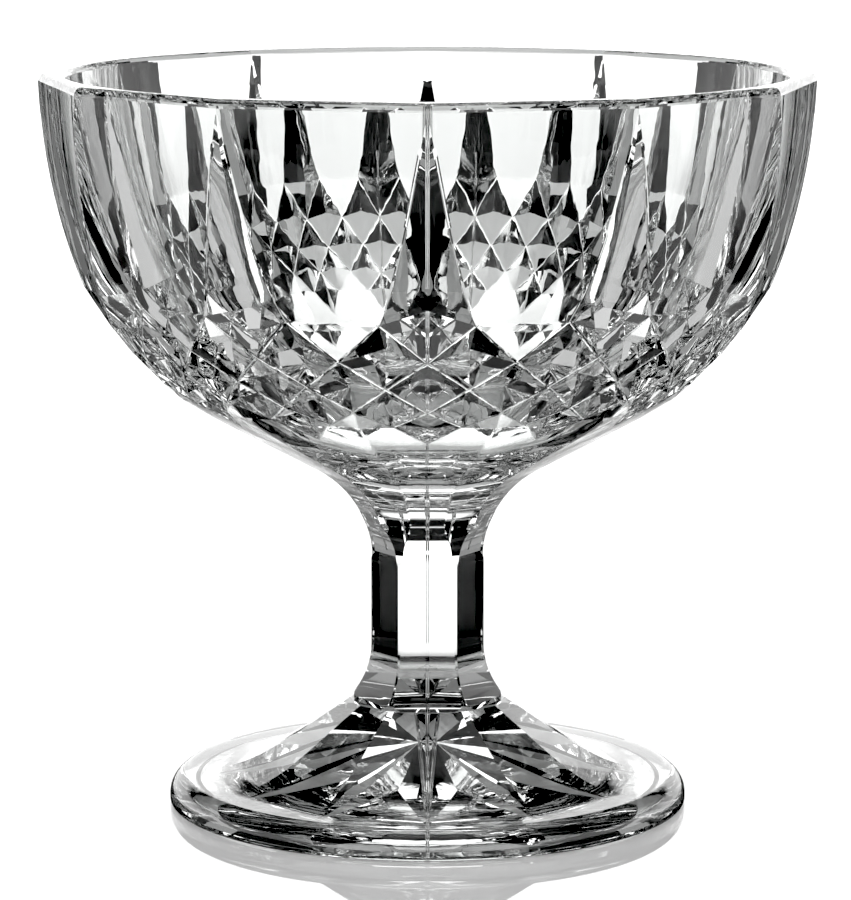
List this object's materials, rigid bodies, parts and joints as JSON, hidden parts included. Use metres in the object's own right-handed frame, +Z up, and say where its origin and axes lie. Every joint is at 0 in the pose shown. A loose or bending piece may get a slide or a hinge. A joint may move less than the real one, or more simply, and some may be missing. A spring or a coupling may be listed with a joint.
{
  "type": "footed dessert glass",
  "caption": "Footed dessert glass in one piece: round bowl with a flat-sided outside, spear notches and a diamond band, on a faceted stem and a round foot.",
  "frame": {"origin": "centre of the foot, on the surface it stands on", "axes": "+Z up along the axis of the glass; -Y is towards the viewer"},
  "size_m": [0.1108, 0.1108, 0.1057],
  "materials": {
    "clear_glass": "clear pressed glass, polished"
  },
  "bodies": {
    "root": {"dessert_glass": "clear_glass"}
  },
  "joints": []
}
